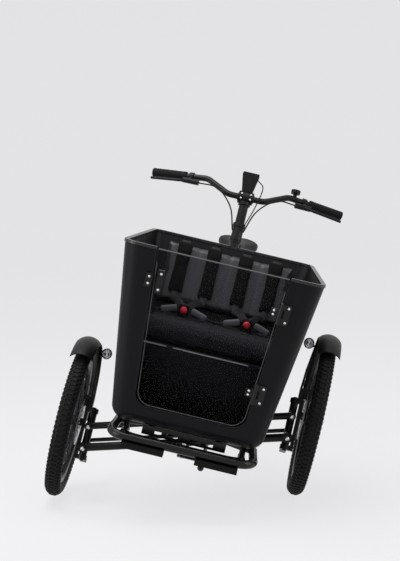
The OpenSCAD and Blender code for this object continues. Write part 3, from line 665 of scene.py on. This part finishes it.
def settle(made):
    graph = bpy.context.evaluated_depsgraph_get()
    plain = bpy.data.meshes.new_from_object(made.evaluated_get(graph), depsgraph=graph)
    made.modifiers.clear()
    made.data = plain


def sewn(made, place, groove):
    # Moves each point by what groove gives, in the piece's own upright place
    back = place.inverted()
    spin = place.to_3x3()
    for v in made.data.vertices:
        v.co += spin @ groove(back @ v.co, back.to_3x3() @ v.normal)
    made.data.update()


def dent(distance, width, depth):
    return -depth * math.exp(-(distance / width) ** 2)


cushion = plump("cushion", "seat_cushion", seat_cloth,
                voxel=0.006, shrink=0.006, cap=0.007)
sewn(cushion, LEANED, lambda p, n: n * (dent(p.x, 0.006, 0.006) + dent(p.z - SEAT_Z - 0.056, 0.003, 0.0022)))
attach(cushion, "frame")
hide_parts("seat_cushion")

BACK_PAD_Z, BACK_PAD_OUT = 0.700, 0.0177
SHOULDER_Z, SHOULDER_OUT = 0.725, 0.0463
BACK_PAD = on_back(BACK_PAD_Z, BACK_PAD_OUT)
back_pad = plump("back_pad", "seat_back", leatherette,
                 voxel=0.006, shrink=0.005, cap=0.006)
sewn(back_pad, BACK_PAD, lambda p, n: n * (dent(p.x, 0.005, 0.005) + dent(abs(p.x) - 0.110, 0.004, 0.003)
                                           + dent(abs(p.z) - 0.104, 0.004, 0.002)))
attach(back_pad, "frame")
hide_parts("seat_back")

belt_pads = plump("belt_pads", "shoulder_pads", pad_cloth,
                  voxel=0.004, shrink=0.003, cap=0.004)
SHOULDER = on_back(SHOULDER_Z, SHOULDER_OUT)
sewn(belt_pads, SHOULDER, lambda p, n: n * sum(dent(p.z - h, 0.003, 0.0022) for h in (-0.05, 0, 0.05)))
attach(belt_pads, "frame")
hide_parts("shoulder_pads")

waist_pads = plump("waist_pads", "lap_pads", lap_cloth,
                   voxel=0.0035, shrink=0.002, cap=0.003)
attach(waist_pads, "frame")
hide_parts("lap_pads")


# Belts of the child seats
BELT_W, TOP_BELT_W, MIDDLE_BELT_W, BELT_T = 0.025, 0.030, 0.032, 0.002
BELT_STEPS = 6
belts = bmesh.new()


def belt(points, facing, width):
    path = smooth_path([Vector(p) for p in points], BELT_STEPS)
    ribbon(path, facing, width, BELT_T, belts)


forward = Vector((0, -1, 0.35)).normalized()
pad_low = Vector((0, inner_back(SHOULDER_Z) - 0.0490 - 0.0309, SHOULDER_Z - 0.0898))
for x in CHILDREN:
    for s in (-1, 1):
        # From the shoulder pad to the buckle
        belt([(x + s * 0.053, pad_low.y + 0.006, pad_low.z + 0.02),
              (x + s * 0.050, pad_low.y - 0.020, pad_low.z - 0.012),
              (x + s * 0.032, 0.168, SEAT_Z + 0.124),
              (x + s * 0.010, 0.112, SEAT_Z + 0.114)], forward, BELT_W)
        # From the lap pad to the cushion
        belt([(x + s * 0.072, 0.124, SEAT_Z + 0.090),
              (x + s * 0.096, 0.150, SEAT_Z + 0.082),
              (x + s * 0.104, 0.190, SEAT_Z + 0.0755)], Vector((0, -0.3, 1)), BELT_W)
        # Over the top of the back
        belt([(x + s * 0.053, 0.306, 0.806),
              (x + s * 0.053, 0.318, 0.816),
              (x + s * 0.053, 0.352, 0.806)], Vector((0, 0.3, 1)), TOP_BELT_W)
    # From the buckle down to the seat
    belt([(x, 0.100, SEAT_Z + 0.078),
          (x, 0.086, SEAT_Z + 0.0755),
          (x, 0.050, SEAT_Z + 0.0745)], Vector((0, 0, 1)), MIDDLE_BELT_W)
piece("seat_belts", belts, webbing, "frame", LEANED)


# Domed red buttons of the buckles
DOME = [(0, -0.0010), (0.0118, -0.0010), (0.0125, 0.0004), (0.0122, 0.0024), (0.0100, 0.0046),
        (0.0060, 0.0060), (0, 0.0065)]
domes = bmesh.new()
for x in CHILDREN:
    turned(DOME, 28, domes, move(x, 0.0917, SEAT_Z + 0.102) @ turn(math.pi / 2, "X"))
buttons = piece("buckle_domes", domes, button_red, "frame", LEANED)
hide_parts("buckle_buttons")


# Pale strip along the bench's front, its pale grey a painted highlight on the edge
strip = bmesh.new()
section = [(-0.1100, 0.4945), (-0.1100, 0.4978), (-0.1118, 0.4978), (-0.1124, 0.4970), (-0.1124, 0.4945)]
for start, end in ((-0.205, -0.130), (-0.108, 0.145)):
    lofted([[(x, y, z) for y, z in section] for x in (start, end)], strip)
piece("bench_strip", strip, painted_highlight_strip, "frame", LEANED)


# Saddle: one lofted shell with a raised tail
SADDLE_SIDES = 28
GROOVE_DEPTH, GROOVE_WIDTH = 0.004, 0.012
# Each section's place along the saddle, half width, top and low edge
SECTIONS = ((-0.164, 0.004, 0.034, 0.022), (-0.158, 0.013, 0.042, 0.012), (-0.140, 0.020, 0.047, 0.004),
            (-0.105, 0.024, 0.049, 0.002), (-0.065, 0.033, 0.048, 0.004), (-0.025, 0.047, 0.048, 0.006),
            (0.015, 0.066, 0.050, 0.006), (0.045, 0.079, 0.054, 0.004), (0.068, 0.083, 0.058, 0.006),
            (0.084, 0.074, 0.056, 0.014), (0.091, 0.050, 0.048, 0.024))
rings = []
for y, half, top, low in SECTIONS:
    ring = []
    for a in around(SADDLE_SIDES):
        c, s = math.cos(a), math.sin(a)
        x = half * math.copysign(abs(c) ** 0.75, c)
        z = (top + low) / 2 + (top - low) / 2 * math.copysign(abs(s) ** (0.8 if s > 0 else 0.5), s)
        if s > 0:
            z -= GROOVE_DEPTH * math.exp(-(x / GROOVE_WIDTH) ** 2) * min(1, half / 0.05)
        ring.append((x, y, z))
    rings.append(ring)
seat = piece("saddle_shell", lofted(rings), saddle_skin, "frame",
             LEANED @ move(0, SEAT_TOP.y + 0.030, SEAT_TOP.z + 0.047))
rounded = seat.modifiers.new("round", "SUBSURF")
rounded.levels = 2
rounded.render_levels = 2
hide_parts("saddle")


# Grips with ribs and a clamped collar
def on_bar(side, from_end):
    inner, outer = Vector((0.150, 0.016, BAR_RISE)), Vector((BAR_HALF, 0.074, BAR_RISE - 0.006))
    d = (inner - outer).normalized()
    o = outer + d * from_end
    return (COLUMN_TOP @ move(side * o.x, o.y, o.z) @ turn(math.atan2(d.y, side * d.x), "Z")
            @ turn(math.acos(d.z), "Y"))


RIBS, RIB_STEP, FIRST_RIB = 15, 0.0064, 0.018
LOW_R, RIB_R = 0.0157, 0.0164
profile = [(0, 0), (0.0120, 0), (0.0150, 0.0010), (0.0164, 0.0035), (0.0165, 0.0120), (0.0157, 0.0135)]
for k in range(RIBS):
    h = FIRST_RIB + k * RIB_STEP
    profile += [(LOW_R, h), (RIB_R, h + 0.0008), (RIB_R, h + 0.0034), (LOW_R, h + 0.0042)]
profile += [(0.0157, 0.1165), (0.0165, 0.1175), (0.0165, 0.1310), (0.0155, 0.1320), (0.0112, 0.1320),
            (0.0112, 0.005), (0, 0.005)]
grip_shape = bmesh.new()
for _, side in SIDES:
    turned(profile, 30, grip_shape, on_bar(side, -0.004))
grips = piece("grip_pair", grip_shape, rubber, "bar_unit")
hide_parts("grips")


# Headlamps: cup, bowl, lens and stalk
LAMP_IN, LAMP_BACK, LAMP_UP, LAMP_SIDES = 0.064, 0.027, 0.240, 36
STALK_R = 0.004
CUP = [(0, -0.034), (0.010, -0.034), (0.0160, -0.027), (0.0178, -0.012), (0.0180, 0), (0.0172, 0.0006),
       (0.0160, -0.0004), (0.0158, -0.0020), (0.0158, -0.018), (0, -0.018)]
BOWL = [(0.0157, -0.0022), (0.0135, -0.009), (0.0090, -0.0140), (0.0040, -0.0165), (0, -0.0168)]
LENS = [(0, 0.0012), (0.0080, 0.0008), (0.0157, -0.0006), (0.0157, -0.0020), (0.0080, -0.0008), (0, -0.0004)]
for word, side in SIDES:
    place = (carried(side) @ move(side * (HALF_TRACK - LAMP_IN), LAMP_BACK, FRONT_R + LAMP_UP)
             @ turn(math.pi / 2, "X"))
    cup = turned(CUP, LAMP_SIDES)
    stalk = [Vector((side * x, -0.008, z)) for x, z in ((0.008, -0.019), (0.014, -0.021), (0.020, -0.023))]
    tube(smooth_path(stalk, 6), STALK_R, cup)
    shell = piece("lamp_cup_" + word, cup, trim_black, "carrier_" + word, place)
    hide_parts("headlamp_" + word)
    bowl = turned(BOWL, LAMP_SIDES)
    piece("lamp_bowl_" + word, bowl, mirror_bowl, "carrier_" + word, place)
    lens = turned(LENS, LAMP_SIDES)
    piece("lamp_lens_" + word, lens, lens_clear, "carrier_" + word, place)


# Bolts of the hinges and the latch
small_bolt = button_bolt(0.0042)
toward = Vector((0, -1, 0))


def bolted(name, body, groups, item=small_bolt):
    places = [(place @ Vector(p), (place.to_3x3() @ Vector(d)).normalized()) for place, p, d in groups]
    made = piece(name, spread(mark_tree, marks(places), item, bolt_steel), bolt_steel, body)


shell_side, door_side = [], []
for h in HINGE_HEIGHTS:
    shell_side += [(HINGE, (0.022, 0.0015, h + e), toward) for e in (0.010, 0.056)]
    door_side += [(HINGE, (-0.020, 0.0015, h + e), toward) for e in (0.0265, 0.0395)]
shell_side += [(FACE, (-DOOR_LOW / 2 - 0.041, -0.011, DOOR_Z0 + h), toward) for h in (0.382, 0.404)]
door_side += [(FACE, (-DOOR_LOW / 2 - 0.006, -0.009, DOOR_Z0 + h), toward) for h in (0.368, 0.418)]
bolted("shell_bolts", "frame", shell_side)
bolted("door_bolts", "door", door_side)


# Bolts of the tilt pivots, axles, discs, stem and motor
PIVOT_FACE = 0.064
KING_Y = KING_BEHIND - (FRONT_R - LOW_PIVOT) * math.tan(CASTER)
PIVOTS = ((KING_Y - PIVOT_FACE, LOW_PIVOT),
          (KING_Y + (HIGH_PIVOT - LOW_PIVOT) * math.tan(CASTER) - PIVOT_FACE, HIGH_PIVOT))
DISC_BOLTS, DISC_RING = 6, 0.0225
MOTOR_BOLTS, MOTOR_RING, MOTOR_HALF = 7, 0.053, 0.038
BB = Vector((0, WHEELBASE - 0.480, 0.290))
pivot_bolt = button_bolt(0.0075)
bolted("pivot_bolts_middle", "frame", [(LEANED, (0, y, z), toward) for y, z in PIVOTS], pivot_bolt)
for word, side in SIDES:
    place = carried(side)
    bolted("pivot_bolts_" + word, "post_" + word, [(place, (side * KING_X, y, z), toward) for y, z in PIVOTS],
           pivot_bolt)
    bolted("axle_bolt_" + word, "carrier_" + word,
           [(place, (side * (HALF_TRACK + 0.040), 0, FRONT_R), (side, 0, 0))], pivot_bolt)
    disc_x = side * (HALF_TRACK - 0.030)
    ring = [(place, (disc_x, DISC_RING * math.cos(a), FRONT_R + DISC_RING * math.sin(a)), (-side, 0, 0))
            for a in around(DISC_BOLTS)]
    bolted("disc_bolts_" + word, "front_wheel_" + word, ring, button_bolt(0.0030))
stem = [(COLUMN_TOP, (x, -0.0212, z), (0, -0.92, z * 43)) for x in (-0.017, 0.017) for z in (-0.009, 0.009)]
bolted("stem_bolts", "bar_unit", stem, button_bolt(0.0036))
motor = [(LEANED, (s * MOTOR_HALF, BB.y + MOTOR_RING * math.cos(a), BB.z + MOTOR_RING * math.sin(a)),
          (s, 0, 0)) for s in (-1, 1) for a in around(MOTOR_BOLTS, 0.5)]
bolted("motor_bolts", "frame", motor)


# Studs on the pedals' faces
stud = repeated(turned([(0.0022, -0.0005), (0.0022, 0.0030), (0.0015, 0.0036), (0, 0.0036)], 12))
studs = []
for s in (-1, 1):
    for x in (-0.035, 0, 0.035):
        for y in (-0.040, 0.040):
            for face in (-1, 1):
                place = (s * PEDAL_X + x, BB.y - s * CRANK + y, BB.z + face * 0.012)
                studs.append((LEANED, place, (0, 0, face)))
bolted("pedal_studs", "crank_unit", studs, stud)


# Spoke nipples and tyre valves
NIPPLE = [(0, -0.007), (0.0019, -0.007), (0.0021, -0.002), (0.0030, 0), (0.0030, 0.0008), (0, 0.0008)]
VALVE = [(0.0042, 0.0005), (0.0042, -0.004), (0.0031, -0.006), (0.0031, -0.024), (0.0040, -0.025),
         (0.0040, -0.034), (0.0026, -0.036), (0, -0.036)]


def rim_fittings(name, body, place, radius, count):
    inner = radius - 2 * RHO - RIM_DEPTH
    nipple = repeated(turned(NIPPLE, 10))
    ring = spread(ring_tree, bpy.data.meshes.new("none"), nipple, bolt_steel, Count=count, Ring=inner,
                  Offset=0.0, Cant=0.0, Phase=math.pi / 2)
    ring.transform(place)
    piece(name + "_nipples", ring, bolt_steel, body)
    spin = place @ turn(math.tau * 0.5 / count, "X") @ move(0, 0, inner)
    valve = turned(VALVE, 14)
    piece(name + "_valve", valve, rubber, body, spin)


for word, side in SIDES:
    rim_fittings("front_rim_" + word, "front_wheel_" + word, front_hub(side), FRONT_R, FRONT_SPOKES)
rim_fittings("back_rim", "back_wheel", REAR_HUB, REAR_R, REAR_SPOKES)


# Screen on the rider's side of the display
SCREEN_MID, SCREEN_SHRINK = 0.060, 0.96
outline = [(0.018, 0.030), (0.026, 0.084), (0.024, 0.091), (-0.024, 0.091), (-0.026, 0.084), (-0.018, 0.030)]
screen = lofted([[(x, 0.0078, z) for x, z in outline], [(x * SCREEN_SHRINK, 0.0094,
                                                         SCREEN_MID + (z - SCREEN_MID) * SCREEN_SHRINK)
                                                        for x, z in outline]])
piece("display_screen", screen, black_glass, "bar_unit", COLUMN_TOP)


# Edging along the door's top and round its opening
DOOR_ROUND, SIDE_STEPS, BEND_STEPS = 0.045, 12, 10


def door_line(grow):
    # The door's outline, wider by grow: down one side, under it and up the other
    r, a, b = DOOR_ROUND, DOOR_LOW / 2 + grow, DOOR_TOP / 2 + grow
    top, foot = Vector((b, 0, DOOR_H + grow)), Vector((a, 0, r - grow))
    half = [top.lerp(foot, k / SIDE_STEPS) for k in range(SIDE_STEPS)]
    for k in range(BEND_STEPS + 1):
        t = math.pi / 2 * k / BEND_STEPS
        half.append(Vector((a - r + r * math.cos(t), 0, r - grow - r * math.sin(t))))
    return half + [Vector((-p.x, p.y, p.z)) for p in reversed(half)]


gasket = tube([Vector((p.x, 0.001, p.z + DOOR_Z0)) for p in door_line(DOOR_GAP + 0.0015)], 0.0026, sides=8)
piece("opening_gasket", gasket, trim_black, "frame", FACE)
# Two thin tubes on the door's top, painted pale grey as highlights along its edge
lip = bmesh.new()
LIP_RISE, LIP_R = 0.0025, 0.0016
for y in (-0.0012, 0.0062):
    run = [Vector((x, y, DOOR_Z0 + DOOR_H + LIP_RISE)) for x in (-DOOR_TOP / 2, 0, DOOR_TOP / 2)]
    tube(run, LIP_R, lip, sides=8)
piece("door_lip", lip, painted_highlight_grey, "door", FACE)
# Cut edge of the clear sheet, painted pale grey as a highlight
edge = tube([Vector((p.x, -0.0004, p.z + DOOR_Z0)) for p in door_line(-0.0012)[1:-1]], 0.0011, sides=8)
piece("door_edge", edge, painted_highlight_grey, "door", FACE)


# Floor and backdrop in one pale sheet, and soft light
PAPER_GLOW, SKY_SEEN, SKY_LIGHT = 0.72, 0.40, 0.40


def looked_at(tree):
    # 1 where a thing is seen, mirrored or seen through glass, and 0 where it only gives light
    seen = tree.nodes.new("ShaderNodeLightPath").outputs
    rays = sum_node(tree, "ADD", seen["Is Camera Ray"], seen["Is Glossy Ray"])
    rays = sum_node(tree, "ADD", rays, seen["Is Transmission Ray"])
    return sum_node(tree, "MINIMUM", rays, 1.0)


bend = [Vector((0, -9.0, 0)), Vector((0, 9.0, 0)), Vector((0, 13.0, 0.3)), Vector((0, 16.0, 1.6)),
        Vector((0, 17.5, 4.2)), Vector((0, 18.0, 12.0))]
sheet = bmesh.new()
last = None
for p in smooth_path(bend, 10):
    row = [sheet.verts.new((x, p.y, p.z)) for x in (-24, 24)]
    if last:
        sheet.faces.new((last[0], last[1], row[1], row[0]))
    last = row
mesh = bpy.data.meshes.new("floor")
sheet.to_mesh(mesh)
sheet.free()
floor = bpy.data.objects.new("floor", mesh)
scene.collection.objects.link(floor)
paper = finish("studio_floor", (0.17, 0.17, 0.172), (0.19, 0.19, 0.192), (0.85, 0.95), patch=0.4, grain=40,
               bump=0.004, shine=0.0)
# Pale where it is seen or mirrored, with no extra light on the tricycle
net = paper.node_tree
glow = net.nodes["Principled BSDF"]
glow.inputs["Emission Color"].default_value = (0.985, 0.985, 1.0, 1)
net.links.new(sum_node(net, "MULTIPLY", looked_at(net), PAPER_GLOW), glow.inputs["Emission Strength"])
mesh.materials.append(paper)
for face in mesh.polygons:
    face.use_smooth = True

world = bpy.data.worlds.new("studio")
scene.world = world
world.use_nodes = True
sky = world.node_tree
backdrop = sky.nodes["Background"]
backdrop.inputs["Color"].default_value = (0.975, 0.975, 1.0, 1)
strength = sum_node(sky, "ADD", sum_node(sky, "MULTIPLY", looked_at(sky), SKY_SEEN), SKY_LIGHT)
sky.links.new(strength, backdrop.inputs["Strength"])


def lamp(name, place, aim, size, power):
    light = bpy.data.lights.new(name, "AREA")
    light.shape = "RECTANGLE"
    light.size, light.size_y = size
    light.energy = power
    made = bpy.data.objects.new(name, light)
    scene.collection.objects.link(made)
    made.location = place
    made.rotation_euler = (Vector(aim) - Vector(place)).to_track_quat("-Z", "Y").to_euler()


lamp("over", (-0.6, -0.8, 3.6), (0, -0.3, 0.4), (3.2, 2.4), 75)
lamp("left_wall", (-3.4, -2.4, 1.6), (0, -0.4, 0.5), (2.0, 2.4), 45)
lamp("right_wall", (3.6, -1.6, 1.7), (0, -0.3, 0.6), (1.6, 2.4), 28)
